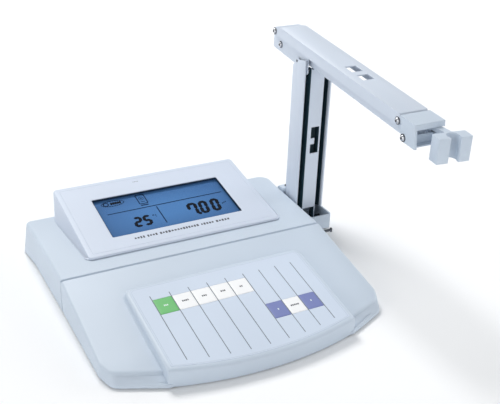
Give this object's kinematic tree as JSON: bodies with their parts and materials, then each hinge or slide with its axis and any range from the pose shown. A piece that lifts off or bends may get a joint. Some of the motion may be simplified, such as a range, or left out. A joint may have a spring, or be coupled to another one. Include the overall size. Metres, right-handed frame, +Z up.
{
  "type": "ph meter",
  "caption": "Bench pH meter: wedge-shaped housing with tilted display and membrane keypad, and a parallelogram swing arm at its side that ends in an electrode clip.",
  "frame": {"origin": "under the centre of the whole object's bounding box, on the desk", "axes": "+X towards the electrode arm, the operator sits at -Y, +Z up"},
  "size_m": [0.3318, 0.3022, 0.2157],
  "materials": {
    "body": "satin, pale ice blue",
    "overlay": "printed membrane, matt",
    "key_white": "matt",
    "key_green": "matt",
    "key_blue": "matt",
    "lens": "clear, polished",
    "lcd": "blue display glass",
    "light_guide": "milky",
    "board": "solder mask",
    "channel": "powder coated, pale lilac",
    "steel": "bright, turned",
    "dark": "black",
    "brass": "plated",
    "rubber": "matt"
  },
  "bodies": {
    "meter": {"rear_cover": "body", "front_deck": "body", "bottom_shell": "body", "display_housing": "body", "keypad_overlay": "overlay", "display_window": "lens", "lcd_panel": "lcd", "lcd_backlight": "light_guide", "main_board": "board", "keypad_board": "board", "bnc_socket": "steel", "temp_socket": "dark", "reference_socket": "brass", "power_socket": "dark", "arm_base": "body", "arm_base_screw": "dark", "column_foot_pin": "steel", "bar_foot_pin": "steel", "foot_1": "rubber", "foot_2": "rubber", "foot_3": "rubber", "foot_4": "rubber", "shell_screw_1": "steel", "shell_screw_2": "steel", "shell_screw_3": "steel", "shell_screw_4": "steel"},
    "lock_screw": {"base_lock_screw": "dark"},
    "upright": {"column_channel": "channel", "column_spring": "steel", "column_top_pin_left": "steel", "column_top_pin_right": "steel"},
    "upright_bar": {"column_bar": "channel"},
    "elbow": {"elbow_bracket": "channel", "bar_top_pin": "steel", "arm_rear_pin": "steel", "bar_rear_pin": "steel"},
    "arm": {"arm_channel": "channel", "arm_spring": "steel"},
    "arm_link": {"arm_bar": "channel"},
    "head": {"end_bracket": "body", "arm_front_pin": "steel", "bar_front_pin": "steel", "clip_pin": "steel"},
    "clip": {"electrode_clip": "body"},
    "key_1": {"key_1": "key_green"},
    "key_2": {"key_2": "key_white"},
    "key_3": {"key_3": "key_white"},
    "key_4": {"key_4": "key_white"},
    "key_5": {"key_5": "key_white"},
    "key_6": {"key_6": "key_blue"},
    "key_7": {"key_7": "key_white"},
    "key_8": {"key_8": "key_blue"}
  },
  "joints": [
    {"name": "column_lean", "type": "hinge", "parent": "meter", "child": "upright", "pos_m": [0.13892, 0.07885, 0.0151], "axis": [1, 0, 0], "range_deg": [-1, 35]},
    {"name": "column_bar_turn", "type": "hinge", "parent": "meter", "child": "upright_bar", "pos_m": [0.13892, 0.06665, 0.0076], "axis": [1, 0, 0], "range_deg": [-1, 35]},
    {"name": "elbow_level", "type": "hinge", "parent": "upright", "child": "elbow", "pos_m": [0.13892, 0.07885, 0.1917], "axis": [1, 0, 0], "range_deg": [-35, 1]},
    {"name": "arm_lift", "type": "hinge", "parent": "elbow", "child": "arm", "pos_m": [0.13892, 0.13055, 0.2095], "axis": [-1, 0, 0], "range_deg": [-1, 45]},
    {"name": "arm_bar_turn", "type": "hinge", "parent": "elbow", "child": "arm_link", "pos_m": [0.13892, 0.11945, 0.1973], "axis": [-1, 0, 0], "range_deg": [-1, 45]},
    {"name": "head_level", "type": "hinge", "parent": "arm", "child": "head", "pos_m": [0.13892, -0.09746, 0.19055], "axis": [-1, 0, 0], "range_deg": [-45, 1]},
    {"name": "clip_swivel", "type": "hinge", "parent": "head", "child": "clip", "pos_m": [0.14861, -0.11845, 0.188], "axis": [0, 0, 1], "range_deg": [-20, 30]},
    {"name": "lock_screw_turn", "type": "hinge", "parent": "meter", "child": "lock_screw", "pos_m": [0.12801, 0.01505, 0.018], "axis": [1, 0, 0], "range_deg": [0, 180]},
    {"name": "key_1_press", "type": "slide", "parent": "meter", "child": "key_1", "axis": [0, 0.1444, -0.9895], "range_m": [0, 0.0005], "stiffness_N_per_m": 900},
    {"name": "key_2_press", "type": "slide", "parent": "meter", "child": "key_2", "axis": [0, 0.1444, -0.9895], "range_m": [0, 0.0005], "stiffness_N_per_m": 900},
    {"name": "key_3_press", "type": "slide", "parent": "meter", "child": "key_3", "axis": [0, 0.1444, -0.9895], "range_m": [0, 0.0005], "stiffness_N_per_m": 900},
    {"name": "key_4_press", "type": "slide", "parent": "meter", "child": "key_4", "axis": [0, 0.1444, -0.9895], "range_m": [0, 0.0005], "stiffness_N_per_m": 900},
    {"name": "key_5_press", "type": "slide", "parent": "meter", "child": "key_5", "axis": [0, 0.1444, -0.9895], "range_m": [0, 0.0005], "stiffness_N_per_m": 900},
    {"name": "key_6_press", "type": "slide", "parent": "meter", "child": "key_6", "axis": [0, 0.1444, -0.9895], "range_m": [0, 0.0005], "stiffness_N_per_m": 900},
    {"name": "key_7_press", "type": "slide", "parent": "meter", "child": "key_7", "axis": [0, 0.1444, -0.9895], "range_m": [0, 0.0005], "stiffness_N_per_m": 900},
    {"name": "key_8_press", "type": "slide", "parent": "meter", "child": "key_8", "axis": [0, 0.1444, -0.9895], "range_m": [0, 0.0005], "stiffness_N_per_m": 900}
  ],
  "couplings": [
    {"joint": "column_bar_turn", "follows": "column_lean", "ratio": 1},
    {"joint": "elbow_level", "follows": "column_lean", "ratio": -1},
    {"joint": "arm_bar_turn", "follows": "arm_lift", "ratio": 1},
    {"joint": "head_level", "follows": "arm_lift", "ratio": -1}
  ]
}
